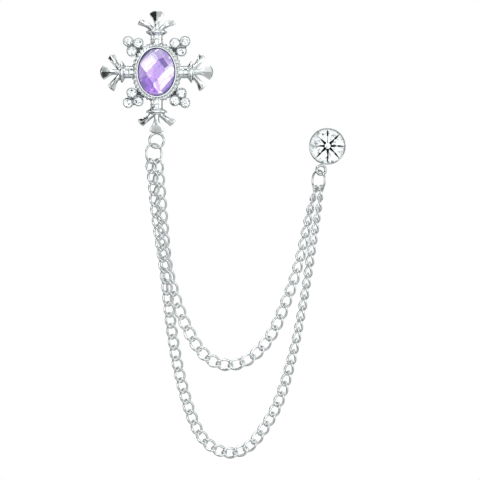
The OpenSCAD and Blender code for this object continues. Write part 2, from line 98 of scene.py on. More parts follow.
# Trefoils
CUP_D = 3.56
CUP_WALL = 0.26
CUP_H = 2.4
CHIP_R = CUP_D / 2 - CUP_WALL - 0.06
TREFOIL_TURN = 46
WEB_R = CUP_D * 0.27
ROOT_SPREAD = 4

# Loops and rings
LOOP_R = 2.42
LOOP_WIRE = 0.82
RING_W = 6.6
RING_H = 7.3
RING_WIRE = 0.7
RING_SPLIT = 0.003
LEFT_RING_TURN = 35
RIGHT_RING_TURN = -50
STRAND_PLACE = 1.35
LINK_CLEAR = 0.34

# Chains
LINK_WIRE = 0.75
DRAWN_WIRE = 0.8
INNER_LINK = (5.95, 4.1)
OUTER_LINK = (5.6, 3.85)
LINK_TWIST = 90
ROUTE_STEPS = 8

# Stud
STUD_AT = Vector((56.9, 0, -24.8))
STUD_D = 12.3
STUD_H = 3
STUD_WALL = 0.35
STUD_FLOOR = 0.6
STAR_R = STUD_D / 2 - STUD_WALL - 0.07
CRYSTAL_RISE = 1.2
STUD_LOOP_R = 1.5
STUD_LOOP_WIRE = 0.9
STUD_LOOP_TURN = 14.7
STUD_LOOP_HIGH = STUD_H * 0.82
POST_D = 1
POST_L = 8

# Pin
PIN_HALF_W = 1.1
PIN_BAR_T = 0.7
PIN_BLOCK = 2.2
PIN_LUG_T = 0.55
PIN_STEP = 0.2
PIN_FOOT = 0.8
PIN_WIRE_R = 0.4
PIN_POINT_FROM = 0.86
PIN_TAPER = 0.15
PIN_TIP = 0.12
RIVET_R = 0.32
RIVET_RISE = 0.25
COIL_R = 0.62
COIL_WIRE_R = 0.28
COIL_W = 0.84
COIL_TURNS = 1.5
HOOK_OVAL = (0.85, 0.82)
HOOK_RISE = 0.12
HOOK_T = 0.26
HOOK_FROM, HOOK_RUN = -100, 255

# Floor and world
FLOOR_R = 2.2
FLOOR_DROP = 0.6
TENT_POWER = 1.45
TENT_TINT = (0.965, 1.0, 1.0)

# The chains' routes from ring to ring: x, depth y, z and the roll of the links
INNER_ROUTE = [
    (0.8, -1.5, -36, 0), (1.6, -1.4, -46, 0), (2.4, -1.3, -56, 0), (3.4, -1.3, -65, 0),
    (5.8, -1.4, -74, 0), (8.6, -1.6, -82, 0), (12.5, -2, -89.8, 0), (15.2, -2, -93.6, 0),
    (19, -2, -96.6, 0), (23, -2, -97.8, 0), (27, -2, -97.5, 0), (31, -2, -95.6, 5),
    (34.5, -2, -92.7, 10), (39, -2, -86.5, 20), (42.2, -2, -79, 28), (45.4, -1.8, -70.5, 40),
    (48, -1.5, -61.5, 51), (49.8, -1.1, -53, 60), (51.2, -0.9, -46, 72),
]
OUTER_ROUTE = [
    (-1, -3.6, -36, 0), (-0.2, -3.7, -45, 0), (1.2, -3.8, -55, 0), (2.6, -3.8, -64, 0),
    (3.5, -3.7, -71, 0), (4.3, -3.4, -79, 0), (5.4, -2.7, -88, 0), (6.9, -2.2, -97, 0),
    (9, -2, -106, 0), (11.6, -2, -114.5, 0), (14.6, -2, -121, 0), (17.4, -2, -124.2, 0),
    (20.8, -2, -126.3, 0), (24.4, -2, -127.1, 0), (28, -2, -126.5, 0), (31.5, -2, -124.4, 5),
    (36, -2, -118.5, 12), (39.8, -2, -112, 20), (42.6, -2, -104.5, 30),
    (44.8, -2, -96.5, 45), (46.8, -2, -88, 56), (48.6, -2.1, -78.5, 60), (50.2, -2.3, -69, 60),
    (51.7, -2.9, -58.5, 56), (53.3, -3.1, -49, 71), (54.2, -2.9, -44, 83),
]


# Points and solids in millimetres

def face_point(x, y, z):
    """Face coordinates to the frame."""
    return Vector((x, -z, y))


def turned(x, y, turn):
    a = radians(turn)
    return x * cos(a) - y * sin(a), x * sin(a) + y * cos(a)


def round_angles(count, start=0):
    """Angles once round, in even steps."""
    return [2 * pi * (j + start) / count for j in range(count)]


def circle(x, y, r, z, sides, place=face_point):
    return [place(x + r * cos(a), y + r * sin(a), z) for a in round_angles(sides)]


def oval_at(oval, turn):
    a = radians(turn)
    return oval[0] * cos(a), oval[1] * sin(a)


def oval_out(oval, turn):
    """The way straight out of an oval."""
    a = radians(turn)
    return degrees(atan2(oval[0] * sin(a), oval[1] * cos(a)))


def strip(rings, closed=False):
    """A tube through rings of points, capped at its ends unless it is closed."""
    sides = len(rings[0])
    points = [p for ring in rings for p in ring]
    faces = []
    for i in range(len(rings) if closed else len(rings) - 1):
        a, b = i * sides, (i + 1) % len(rings) * sides
        for j in range(sides):
            k = (j + 1) % sides
            faces.append((a + j, a + k, b + k, b + j))
    if not closed:
        faces.append(tuple(range(sides - 1, -1, -1)))
        faces.append(tuple(range((len(rings) - 1) * sides, len(rings) * sides)))
    return points, faces


def tube(path, radius, sides=16, closed=False, reference=None):
    """A round wire along a path. The reference is a direction that is never along it."""
    rings = []
    count = len(path)
    for i, p in enumerate(path):
        before = path[(i - 1) % count] if closed or i else p
        after = path[(i + 1) % count] if closed or i < count - 1 else p
        forward = (after - before).normalized()
        aside = forward.cross(reference or FRONT).normalized()
        up = aside.cross(forward)
        r = radius(i / (count - 1)) if callable(radius) else radius
        rings.append([p + (aside * cos(w) + up * sin(w)) * r for w in round_angles(sides)])
    return strip(rings, closed)


def lathe(profile, centre, sides=64, place=face_point):
    """A profile of radius and height turned about the line out of the face at a centre."""
    return strip([circle(*centre, r, z, sides, place) for r, z in profile])


def smooth_rows(rows, steps):
    """Rows of numbers with a smooth run of rows between each two."""
    out = []
    last = len(rows) - 1
    for i in range(last):
        a, b = rows[max(i - 1, 0)], rows[i]
        c, d = rows[i + 1], rows[min(i + 2, last)]
        for k in range(steps):
            t = k / steps
            out.append([
                0.5 * (2 * q + (r - p) * t + (2 * p - 5 * q + 4 * r - s) * t * t
                       + (3 * q - p - 3 * r + s) * t ** 3)
                for p, q, r, s in zip(a, b, c, d)
            ])
    return out + [list(rows[last])]


# Meshes

def new_mesh(name, bm):
    mesh = bpy.data.meshes.new(name)
    bm.to_mesh(mesh)
    bm.free()
    return mesh


def new_object(name, data):
    made = bpy.data.objects.new(name, data)
    bpy.context.scene.collection.objects.link(made)
    return made


def finished_mesh(name, solids):
    """One mesh of all the solids, its faces outward and its sharp edges marked."""
    bm = bmesh.new()
    for points, faces in solids:
        made = [bm.verts.new(p * MM) for p in points]
        for face in faces:
            bm.faces.new([made[i] for i in face])
    bmesh.ops.dissolve_degenerate(bm, dist=1e-7, edges=bm.edges)
    bmesh.ops.recalc_face_normals(bm, faces=bm.faces)
    for face in bm.faces:
        face.smooth = True
    for edge in bm.edges:
        edge.smooth = edge.calc_face_angle(pi) < radians(SHARP_ANGLE)
    return new_mesh(name, bm)


def piece(name, mesh, material, slot, *nodes, at=None):
    """An object of the lapel chain, in place of nodes of the construction."""
    made = new_object(name, mesh)
    mesh.materials.append(material)
    if at is not None:
        made.location = at * MM
    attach(made, "root")
    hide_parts(*nodes)
    return made


def cut_gem(planes, size):
    """A cut stone: a block cut by planes, each a normal and its distance out."""
    bm = bmesh.new()
    bmesh.ops.create_cube(bm, size=size)
    for normal, distance in planes:
        normal = normal.normalized()
        cut = bmesh.ops.bisect_plane(
            bm, geom=bm.verts[:] + bm.edges[:] + bm.faces[:], dist=1e-6,
            plane_co=normal * distance, plane_no=normal, clear_outer=True,
        )
        edges = [g for g in cut["geom_cut"] if isinstance(g, bmesh.types.BMEdge)]
        if edges:
            bmesh.ops.edgenet_fill(bm, edges=edges)
    bmesh.ops.recalc_face_normals(bm, faces=bm.faces)
    bmesh.ops.dissolve_limit(bm, angle_limit=radians(0.5), verts=bm.verts, edges=bm.edges)
    return bm


def gem_mesh(name, bm):
    """The mesh of a cut stone, turned from face coordinates, with flat facets."""
    for vert in bm.verts:
        vert.co = face_point(*vert.co) * MM
    bmesh.ops.recalc_face_normals(bm, faces=bm.faces)
    return new_mesh(name, bm)


# Materials

def new_material(name):
    material = bpy.data.materials.new(name)
    material.use_nodes = True
    tree = material.node_tree
    return material, tree, tree.nodes["Principled BSDF"]


def fill(tree, node, inputs):
    """A node's inputs, linked where a socket is given and set where it is a value."""
    for key, value in inputs.items():
        if isinstance(value, bpy.types.NodeSocket):
            tree.links.new(value, node.inputs[key])
        else:
            node.inputs[key].default_value = value


def add(tree, kind, inputs=None, **settings):
    """A shader node with its settings and inputs."""
    made = tree.nodes.new("ShaderNode" + kind)
    for key, value in settings.items():
        setattr(made, key, value)
    fill(tree, made, inputs or {})
    return made


def calc(tree, operation, a, b=0.0, c=0.0):
    return add(tree, "Math", {0: a, 1: b, 2: c}, operation=operation).outputs[0]


def times(tree, a, b):
    return calc(tree, "MULTIPLY", a, b)


def spread(tree, value, low, high, to_low, to_high, smooth=False):
    """A value moved from one range to another, and held inside it."""
    return add(
        tree, "MapRange",
        {"Value": value, "From Min": low, "From Max": high, "To Min": to_low, "To Max": to_high},
        interpolation_type="SMOOTHSTEP" if smooth else "LINEAR",
    ).outputs[0]


def window(tree, value, edges):
    """1 between the two inner edges, falling to 0 at the two outer ones."""
    a, b, c, d = edges
    rise = spread(tree, value, a, b, 0, 1, smooth=True)
    return times(tree, rise, spread(tree, value, c, d, 1, 0, smooth=True))


def ramp(tree, value, stops, interpolation="LINEAR"):
    made = add(tree, "ValToRGB", {0: value})
    made.color_ramp.interpolation = interpolation
    elements = made.color_ramp.elements
    while len(elements) < len(stops):
        elements.new(0.5)
    for element, (place, colour) in zip(elements, stops):
        element.position = place
        element.color = (*colour, 1)
    return made.outputs[0]


def grey_ramp(tree, value, tones, interpolation="LINEAR"):
    """A ramp of greys, from the places along it and the tone at each."""
    stops = [(place, (tone,) * 3) for place, tone in tones]
    return ramp(tree, value, stops, interpolation)


def mixed(tree, factor, a, b, blend="MIX"):
    """Two colours mixed, each a socket or three numbers."""
    a, b = ((*colour, 1) if isinstance(colour, tuple) else colour for colour in (a, b))
    made = add(tree, "Mix", {0: factor, 6: a, 7: b}, data_type="RGBA", blend_type=blend)
    return made.outputs[2]


def object_place(tree):
    return add(tree, "TexCoord").outputs["Object"]


def noise(tree, place, per_mm, detail=3.0):
    inputs = {"Vector": place, "Scale": per_mm / MM, "Detail": detail}
    return add(tree, "TexNoise", inputs).outputs["Fac"]


def bumps(tree, height, strength, depth_mm):
    inputs = {"Height": height, "Strength": strength, "Distance": depth_mm * MM}
    return add(tree, "Bump", inputs).outputs[0]


# Silvers: the bright and the dull colour of the plating, the least and the most roughness,
# the grains per millimetre and their relief. In the darker ones the colour holds painted shade
SILVERS = {
    "cast_silver": ((0.95, 0.965, 0.97), (0.87, 0.89, 0.895), (0.05, 0.12), 3, 0.06),
    # a darker copy of the plating: painted shade, the grey of the rings' and the stud's outlines
    "ring_silver_painted_shade": ((0.8, 0.815, 0.82), (0.66, 0.68, 0.685), (0.05, 0.1), 5, 0.03),
    "wire_silver": ((0.96, 0.975, 0.98), (0.87, 0.89, 0.895), (0.05, 0.1), 5, 0.02),
    # a darker copy of the plating: painted shade round the rims of the cups
    "cup_silver_painted_shade": ((0.78, 0.8, 0.81), (0.62, 0.64, 0.65), (0.06, 0.14), 6, 0.05),
    # near black: painted shade for the gaps between the trefoils' cups and the rope
    "recess_painted_shade": ((0.2, 0.205, 0.21), (0.07, 0.072, 0.075), (0.3, 0.5), 4, 0.1),
}
HOLLOW_TONE = 0.45


def silver(name, bright, dull, rough, grain, relief):
    """Bright plating over a casting or wire: a little uneven, darker in its hollows."""
    material, tree, shader = new_material(name)
    place = object_place(tree)
    pointed = add(tree, "NewGeometry").outputs["Pointiness"]
    hollow = spread(tree, pointed, 0.44, 0.5, 1, 0, smooth=True)
    cloud = spread(tree, noise(tree, place, 0.5), 0.35, 0.65, 0, 1)
    dark = tuple(HOLLOW_TONE * value for value in dull)
    streak = noise(tree, place, 2.2, detail=5)
    fill(tree, shader, {
        "Metallic": 1,
        "Base Color": mixed(tree, hollow, mixed(tree, cloud, bright, dull), dark),
        "Roughness": spread(tree, streak, 0.3, 0.7, *rough),
        "Normal": bumps(tree, noise(tree, place, grain), relief, 0.02),
    })
    return material


def satin_steel():
    """Drawn steel with fine lines along it."""
    material, tree, shader = new_material("satin_steel")
    squeeze = {"Vector": object_place(tree), "Scale": (0.04, 1, 1)}
    lines = noise(tree, add(tree, "Mapping", squeeze).outputs[0], 6, detail=4)
    fill(tree, shader, {
        "Metallic": 1,
        "Base Color": ramp(tree, lines, [(0.3, (0.42, 0.43, 0.44)), (0.7, (0.66, 0.67, 0.68))]),
        "Roughness": spread(tree, lines, 0.3, 0.7, 0.24, 0.4),
        "Normal": bumps(tree, lines, 0.2, 0.02),
    })
    return material


def facet_jumps(tree, place, shift):
    """A place that jumps from facet to facet, as what is seen through a cut stone does."""
    normal = add(tree, "NewGeometry").outputs["True Normal"]
    jump = add(tree, "VectorMath", {0: normal, 1: (shift,) * 3}, operation="MULTIPLY")
    return add(tree, "VectorMath", {0: place, 1: jump.outputs[0]}, operation="ADD").outputs[0]


def patches(tree, place, scale):
    """Flat patches of random tone, as the back facets of a stone make."""
    cells = add(tree, "TexVoronoi", {"Vector": place, "Scale": scale})
    return add(tree, "SeparateColor", {0: cells.outputs["Color"]}).outputs[0]


def face_places(tree):
    """Places across and up the face of a stone."""
    split = add(tree, "SeparateXYZ", {0: object_place(tree)})
    return split.outputs[0], split.outputs[2]


def polar(tree):
    """The turn round the middle of a round stone, and the distance out."""
    x, y = face_places(tree)
    square = calc(tree, "ADD", times(tree, x, x), times(tree, y, y))
    return calc(tree, "ARCTAN2", y, x), calc(tree, "SQRT", square)


def spoke_patches(tree, turn, out, seed, spokes, rings, radius):
    """Patches between spokes and rings round the middle, as the facets of a round stone."""
    place = add(tree, "CombineXYZ", {
        0: times(tree, turn, spokes / (2 * pi)),
        1: times(tree, out, rings / (radius * MM)), 2: seed,
    }).outputs[0]
    return patches(tree, facet_jumps(tree, place, SPOKE_JUMP), 1)


def slanted(tree, x, y, middle, turn):
    """Places along and across a line through a middle, in the stone's face."""
    a = radians(turn)
    dx = calc(tree, "SUBTRACT", x, middle[0] * MM)
    dy = calc(tree, "SUBTRACT", y, middle[1] * MM)
    along = calc(tree, "MULTIPLY_ADD", dx, cos(a), times(tree, dy, sin(a)))
    across = calc(tree, "MULTIPLY_ADD", dx, -sin(a), times(tree, dy, cos(a)))
    return along, across


def reflection(tree, x, y, middle, turn, half_long, half_wide):
    """A slanted box in the stone's face, 1 inside it: what a back facet throws forward."""
    masks = []
    for value, half in zip(slanted(tree, x, y, middle, turn), (half_long, half_wide)):
        inner = half - REFLECTION_EDGE
        masks.append(window(tree, value, [MM * e for e in (-half, -inner, inner, half)]))
    return times(tree, *masks)


# Reflections inside the oval stone: middle, turn, half length, half width, lighter or darker,
# warmer or cooler. They are laid on in this order.
STONE_REFLECTIONS = [
    ((2.5, 2.75), -53.7, 1.75, 0.85, -0.32, 0.1),
    ((3.4, 3.6), -53.7, 2.0, 0.2, 0.05, 0.5),
    ((5.6, 0.9), -80, 1.3, 0.35, -0.08, -0.1),
    ((0.1, -7.2), 4, 2.2, 0.4, 0.12, -0.4),
    ((-3.25, 5.85), 42, 4.4, 1.15, -0.46, -0.1),
    ((-2.9, 4.1), 44, 1.7, 0.3, -0.16, 0.5),
    ((-2.0, 2.1), 46, 1.5, 0.28, -0.1, 0.6),
    ((2.3, -3.3), 52, 2.2, 0.25, -0.1, 0.7),
    ((3.6, -0.9), 47, 1.3, 0.2, -0.12, -0.2),
    ((-0.4, 4.6), -49, 1.9, 0.5, -0.18, -0.2),
    ((-2.4, -1.9), 46, 0.9, 0.35, 0.1, -0.2),
    ((4.4, 4.6), -60, 0.5, 0.4, 0.3, 0),
    ((-4.5, -2.3), 25, 1.1, 0.4, -0.1, 0),
    ((0.5, -4.7), -76, 2.1, 0.6, -0.19, 0.3),
    ((2.6, 6.1), -45, 1.1, 0.35, -0.1, 0.3),
    ((-2.25, -4.5), -60, 2.4, 0.62, 0.1, 0.5),
    ((4.1, -0.4), 46, 2.3, 0.95, 0.22, -0.1),
    ((-5.0, 3.2), 62, 1.2, 0.5, -0.22, -0.1),
    ((0.1, 7.0), 35, 0.8, 0.32, 0.35, -0.3),
    ((1.6, 2.1), 46, 1.3, 0.5, -0.07, -0.1),
    ((-4.9, -1.3), 60, 1.0, 0.5, 0.08, 0),
    ((-2.6, -6.2), -31, 1.3, 0.9, 0.1, 0.5),
    ((4.35, -4.7), 50, 3.3, 1.05, -0.4, 0.05),
    ((5.4, -2.6), 72, 0.8, 0.3, -0.15, 0.8),
]
REFLECTION_EDGE = 0.12
FACET_JUMP = 9
SPOKE_JUMP = 3.1
GLASS_IOR = 1.55


def purple_glass():
    """Foil-backed purple glass, its facets toned by the way they face."""
    material, tree, shader = new_material("purple_glass")
    lit = add(tree, "Attribute", attribute_name="lit").outputs["Fac"]
    warm = add(tree, "Attribute", attribute_name="warm").outputs["Fac"]
    x, y = face_places(tree)
    place = facet_jumps(tree, object_place(tree), FACET_JUMP * MM)
    shades, tints = patches(tree, place, 0.42 / MM), patches(tree, place, 0.3 / MM)
    lit = calc(tree, "ADD", lit, spread(tree, shades, 0, 1, -0.06, 0.05))
    warm = calc(tree, "ADD", warm, spread(tree, tints, 0, 1, -0.2, 0.2))
    warm = calc(tree, "ADD", warm, spread(tree, y, -5 * MM, 4 * MM, 0.2, -0.35))
    for middle, turn, half_long, half_wide, lighter, warmer in STONE_REFLECTIONS:
        mask = reflection(tree, x, y, middle, turn, half_long, half_wide)
        lit = calc(tree, "MULTIPLY_ADD", mask, lighter, lit)
        warm = calc(tree, "MULTIPLY_ADD", mask, warmer, warm)
    lit = calc(tree, "MAXIMUM", lit, 0.27)
    cool_side = ramp(tree, lit, [
        (0, (0.05, 0.045, 0.11)), (0.3, (0.16, 0.145, 0.31)), (0.5, (0.32, 0.28, 0.5)),
        (0.7, (0.52, 0.44, 0.72)), (0.9, (0.86, 0.8, 0.92)), (1.0, (1.0, 1.0, 1.0)),
    ])
    warm_side = ramp(tree, lit, [
        (0, (0.06, 0.025, 0.17)), (0.3, (0.19, 0.1, 0.48)), (0.5, (0.39, 0.19, 0.74)),
        (0.64, (0.6, 0.36, 0.78)), (0.8, (0.78, 0.58, 0.9)), (0.95, (0.95, 0.87, 0.98)),
        (1.0, (1.0, 0.98, 1.0)),
    ])
    fill(tree, shader, {
        "Base Color": mixed(tree, spread(tree, warm, 0, 1, 0, 1), cool_side, warm_side),
        "Roughness": 0.12, "IOR": GLASS_IOR, "Coat Weight": 1, "Coat Roughness": 0.02,
    })
    return material


def ray_width(tree, out, start, widest, end, width):
    """Half the width of a dark ray, at a distance out from the middle."""
    rise = spread(tree, out, start * MM, widest * MM, 0, width * MM)
    fall = calc(tree, "POWER", spread(tree, out, widest * MM, end * MM, 1, 0), 0.6)
    return times(tree, rise, fall)


def foil_glass(name, flecks, tones):
    """Clear glass over foil: white, with flat flecks of grey where the back is seen dark, painted
    in as reflections.
    """
    material, tree, shader = new_material(name)
    glass = ramp(tree, flecks(tree), tones, interpolation="CONSTANT")
    fill(tree, shader, {
        "Base Color": glass, "Roughness": 0.08, "IOR": GLASS_IOR, "Specular IOR Level": 0.35,
    })
    return material, tree, shader, glass


def chip_glass():
    """The small stones: where each stone sits gives it its own flecks."""
    def flecks(tree):
        turn, out = polar(tree)
        at = add(tree, "SeparateXYZ", {0: add(tree, "ObjectInfo").outputs["Location"]})
        high = times(tree, at.outputs[2], 2300)
        seed = calc(tree, "MULTIPLY_ADD", at.outputs[0], 900, high)
        return spoke_patches(tree, turn, out, seed, 13, 2.2, CHIP_R)

    return foil_glass("chip_glass", flecks, [
        (0, (0.02, 0.024, 0.028)), (0.09, (0.3, 0.32, 0.33)), (0.19, (0.58, 0.61, 0.62)),
        (0.36, (0.76, 0.79, 0.8)), (0.55, (0.87, 0.89, 0.89)), (0.8, (0.96, 0.97, 0.97)),
    ])[0]


# The dark rays of the large stone, painted reflections of its back, their inner and their outer
# parts: the share of the full width that each ray has, from the left all the way round, then
# where they start, are widest and end, and half their full width, as shares of the stone's radius
STAR_RAYS = [
    ((1.0, 1.15, 1.1, 1.05, 1.05, 1.15, 0.4, 1.15, 1.0), (0.15, 0.18, 0.62), 0.086),
    ((0.35, 1.05, 1.1, 1.1, 1.1, 1.25, 1.0, 0.4, 0.35), (0.5, 0.62, 1.0), 0.062),
]
RAY_COUNT = 8
PAINTED_RAY_BLACK = (0.002, 0.003, 0.004)
RAY_EDGE = 0.015


def ray_mask(tree):
    """1 in the dark rays of the star, a painted reflection, and 0 between them."""
    turn, out = polar(tree)
    folded = calc(tree, "PINGPONG", turn, pi / RAY_COUNT)
    along = times(tree, out, calc(tree, "COSINE", folded))
    aside = times(tree, out, calc(tree, "SINE", folded))
    places = RAY_COUNT + 1
    reach = pi * places / RAY_COUNT
    which = spread(tree, turn, -reach, reach, 0, 1)
    black = None
    for shares, run, width in STAR_RAYS:
        steps = [(k / places, share) for k, share in enumerate(shares)]
        share = grey_ramp(tree, which, steps, interpolation="CONSTANT")
        full = ray_width(tree, along, *(STAR_R * place for place in run), STAR_R * width)
        beside = calc(tree, "SUBTRACT", times(tree, share, full), aside)
        ray = spread(tree, beside, 0, RAY_EDGE * STAR_R * MM, 0, 1)
        black = ray if black is None else calc(tree, "MAXIMUM", black, ray)
    return black


def star_glass():
    """The stud's stone: eight black rays round a bright middle, with flecks between, all painted
    reflections.
    """
    def flecks(tree):
        return spoke_patches(tree, *polar(tree), 0.5, 41, 6.4, STAR_R)

    material, tree, shader, glass = foil_glass("star_glass", flecks, [
        (0, (0.3, 0.31, 0.32)), (0.06, (0.48, 0.5, 0.51)), (0.13, (0.68, 0.7, 0.71)),
        (0.24, (0.8, 0.82, 0.83)), (0.45, (0.9, 0.92, 0.92)), (0.75, (0.97, 0.98, 0.98)),
    ])
    black = ray_mask(tree)
    fill(tree, shader, {
        "Base Color": mixed(tree, black, glass, PAINTED_RAY_BLACK),
        "Specular IOR Level": spread(tree, black, 0, 1, 0.35, 0.05),
    })
    return material


# Brooch

# The bezel's and floor's section: the distance outside the stone's oval, and the height
BEZEL_PROFILE = [
    (0.06, GIRDLE_LOW), (0.06, 2.5), (0.075, 2.59), (0.12, 2.64), (0.2, 2.66), (0.38, 2.66),
    (0.47, 2.63), (0.53, 2.55), (0.56, 2.4), (0.58, 2.22), (0.63, 2.13), (0.72, 2.1), (0.95, 2.16),
    (1.24, 2.19), (1.5, 2.1), (1.68, 1.9), (1.76, 1.6), (1.76, 1.3), (1.6, 1.0), (1.5, 0.7),
    (1.5, 0.25), (1.42, 0.08), (1.25, 0),
]


def oval_ring(oval, high, sides):
    return [face_point(*oval_at(oval, 360 * j / sides), high) for j in range(sides)]


def bezel_solid(sides=160):
    rings = [oval_ring(STONE_HALF * 0.98, FLOOR_T, sides)]
    for outside, high in BEZEL_PROFILE:
        rings.append(oval_ring(STONE_HALF + ALL_ROUND * outside, high, sides))
    return strip(rings)


def rope_strand(strand, rings=640, sides=14):
    """One of the two strands that are laid round each other along the border."""
    made = []
    for i in range(rings):
        t = 360 * i / rings
        lay = radians(180 * strand - 180 * ROPE_LOBES * i / rings)
        x, y = oval_at(ROPE_OVAL, t)
        out = radians(oval_out(ROPE_OVAL, t))
        aside, high = sin(lay) * STRAND_LAY, cos(lay) * STRAND_LAY
        ring = []
        for a in round_angles(sides):
            reach = aside + STRAND_R * sin(a)
            rise = high + STRAND_R * cos(a)
            ring.append(face_point(x + reach * cos(out), y + reach * sin(out), ROPE_HIGH + rise))
        made.append(ring)
    return strip(made, closed=True)


# An arm's turned section: the distance from the collar's plane as a share of the reach,
# and the half width as a share of the way from the neck to the collar
ARM_PROFILE = [
    (-1.05, 0.75), (-0.985, 0.34), (-0.955, 0.12), (-0.94, 0.04), (-0.93, -0.005),
    (-0.92, -0.03), (-0.905, -0.042), (-0.88, -0.046), (-0.68, -0.05), (-0.635, -0.05),
    (-0.62, -0.01), (-0.6, 0.015), (-0.575, 0.015), (-0.555, -0.01), (-0.54, -0.05),
    (-0.45, -0.04), (-0.36, -0.025), (-0.29, -0.01), (-0.25, 0.02), (-0.225, 0.1), (-0.19, 0.28),
    (-0.15, 0.5), (-0.11, 0.7), (-0.07, 0.87), (-0.055, 0.95), (-0.05, 1.02), (-0.035, 1.08),
    (-0.01, 1.11), (0.04, 1.12),
    (0.09, 1.11), (0.115, 1.08), (0.13, 1.02), (0.135, 0.92), (0.14, 0.6), (0.15, 0.42),
    (0.17, 0.38), (0.185, 0.48), (0.205, 0.56), (0.235, 0.59), (0.265, 0.55), (0.28, 0.45),
    (0.29, 0.3), (0.3, 0.0), (0.32, -0.2),
]


def arm_solid(sides=48):
    rings = []
    for share, wide in ARM_PROFILE:
        r = NECK_HW + wide * (COLLAR_HW - NECK_HW)
        rings.append([
            (share * ARM_REACH, r * cos(a), max(ARM_BACK, ARM_AXIS + r * ARM_SQUASH * sin(a)))
            for a in round_angles(sides, 0.5)
        ])
    return strip(rings)


# The prongs: the distance out and aside of the middle of each section, as shares of the
# finial and of its half span, and the way it points; its half width as a share of the flare;
# the height of its edges and of its ridge above them as shares of the way from the flare's
# edge to the ridge; its power, 2 where it is round and 1 where two flat facets meet in a
# ridge; and how far its middle stands out past its edges, as a share of the finial
CENTRE_PRONG = [
    (0.02, 0, 0, 0.42, 0, 0.84, 2, 0), (0.18, 0, 0, 0.39, 0, 0.92, 2, 0),
    (0.34, 0, 0, 0.38, 0.06, 0.84, 2, 0), (0.44, 0, 0, 0.42, 0.2, 0.62, 1.6, 0),
    (0.53, 0, 0, 0.51, 0.3, 0.45, 1.2, 0), (0.63, 0, 0, 0.67, 0.25, 0.44, 1, 0),
    (0.72, 0, 0, 0.83, 0.15, 0.5, 1, 0.02), (0.79, 0, 0, 0.94, 0.06, 0.54, 1, 0.06),
    (0.83, 0, 0, 1.0, 0, 0.56, 1, 0.1), (0.84, 0, 0, 0.99, -0.03, 0.48, 1, 0.125),
    (0.85, 0, 0, 0.98, -0.06, 0.38, 1, 0.145), (0.855, 0, 0, 0.96, -0.1, 0.3, 1, 0.145),
]
SIDE_PRONG = [
    (0.08, 0.17, 43, 0.38, 0, 0.84, 2, 0), (0.21, 0.32, 44, 0.36, 0, 0.9, 2, 0),
    (0.3, 0.455, 47, 0.37, 0.1, 0.76, 1.9, 0), (0.36, 0.56, 50, 0.4, 0.26, 0.46, 1.5, 0),
    (0.41, 0.67, 51, 0.46, 0.32, 0.23, 1.1, 0), (0.455, 0.77, 50, 0.52, 0.23, 0.19, 1, 0.01),
    (0.485, 0.83, 48.5, 0.56, 0.15, 0.19, 1, 0.02), (0.5, 0.86, 48, 0.57, 0.08, 0.2, 1, 0.03),
    (0.51, 0.88, 47.5, 0.56, -0.01, 0.19, 1, 0.035),
    (0.515, 0.89, 47, 0.53, -0.1, 0.16, 1, 0.035),
]

# Places across a prong, as shares of its half width, and the height of its rolled edge
ACROSS = (1, 0.985, 0.95, 0.9, 0.78, 0.6, 0.4, 0.2)
ACROSS += (0,) + tuple(-t for t in reversed(ACROSS))
EDGE_ROLL = 0.22
ROLL_FROM = 0.88


def prong_height(t, low, rise, power):
    past = max(0, abs(t) - ROLL_FROM) / (1 - ROLL_FROM)
    roof = max(0, 1 - abs(t) ** power) ** (1 / power)
    return PRONG_EDGE + low - EDGE_ROLL * (1 - sqrt(1 - past * past)) + rise * roof


def prong_section(x, y, turn, half, low, rise, power, bow):
    """Round a prong's section, from its back's left corner over the ridge."""
    inward, high = PRONG_CHAMFER
    shape = [(half - inward, PRONG_BACK), (half, PRONG_BACK + high)]
    shape += [(half * t, prong_height(t, low, rise, power)) for t in ACROSS]
    shape += [(-half, PRONG_BACK + high), (-half + inward, PRONG_BACK)]
    section = []
    for across, z in shape:
        dx, dy = turned(bow * (1 - (across / half) ** 2), across, turn)
        section.append((x + dx, y + dy, z))
    return section


def prong_solid(rows, side=1):
    """A prong through its rows, mirrored where side is -1."""
    rings = []
    for out, aside, turn, half, low, ridge, power, bow in smooth_rows(rows, 4):
        section = prong_section(
            out * FINIAL_L, aside * FINIAL_SPAN, turn, half * PRONG_FLARE,
            low * PRONG_RISE, ridge * PRONG_RISE, max(1, power), bow * FINIAL_L,
        )
        rings.append([(x, y * side, z) for x, y, z in section])
    return strip(rings)


def arm_solids(turn):
    """The arm, its collar and its finial, turned from the right to their place."""
    half = ROPE_OVAL[0] if turn % 180 == 0 else ROPE_OVAL[1]
    prongs = [prong_solid(CENTRE_PRONG), prong_solid(SIDE_PRONG), prong_solid(SIDE_PRONG, -1)]
    placed = []
    for points, faces in [arm_solid(), *prongs]:
        moved = []
        for x, y, z in points:
            across, high = turned(x + half + ARM_REACH, y, turn)
            moved.append(face_point(across, high, z))
        placed.append((moved, faces))
    return placed


def hull_solid(points):
    """The solid that a skin pulled tight over the points would make."""
    bm = bmesh.new()
    for p in points:
        bm.verts.new(p)
    hull = bmesh.ops.convex_hull(bm, input=bm.verts)
    spare = {*hull["geom_interior"], *hull["geom_unused"]}
    spare = [g for g in spare if isinstance(g, bmesh.types.BMVert)]
    bmesh.ops.delete(bm, geom=spare, context="VERTS")
    bm.verts.index_update()
    solid = [v.co.copy() for v in bm.verts], [[v.index for v in f.verts] for f in bm.faces]
    bm.free()
    return solid


def disc(x, y, r, heights):
    """The corners of a round plate, for a hull."""
    return [p for z in heights for p in circle(x, y, r, z, 24)]


# A cup's section: the distance from its axis as a share of its radius, and the height
CUP_PROFILE = [
    (0.3, 1.3), (0.83, 1.3), (0.85, 1.4), (0.855, 2.2), (0.87, 2.32), (0.905, 2.39),
    (0.94, 2.4), (0.975, 2.36), (0.995, 2.26), (1.0, 2.1), (1.0, 0.15), (0.96, 0.03),
    (0.9, 0), (0.3, 0),
]


def cup_solids(cups):
    return [lathe([(r * CUP_D / 2, z) for r, z in CUP_PROFILE], cup, sides=40) for cup in cups]


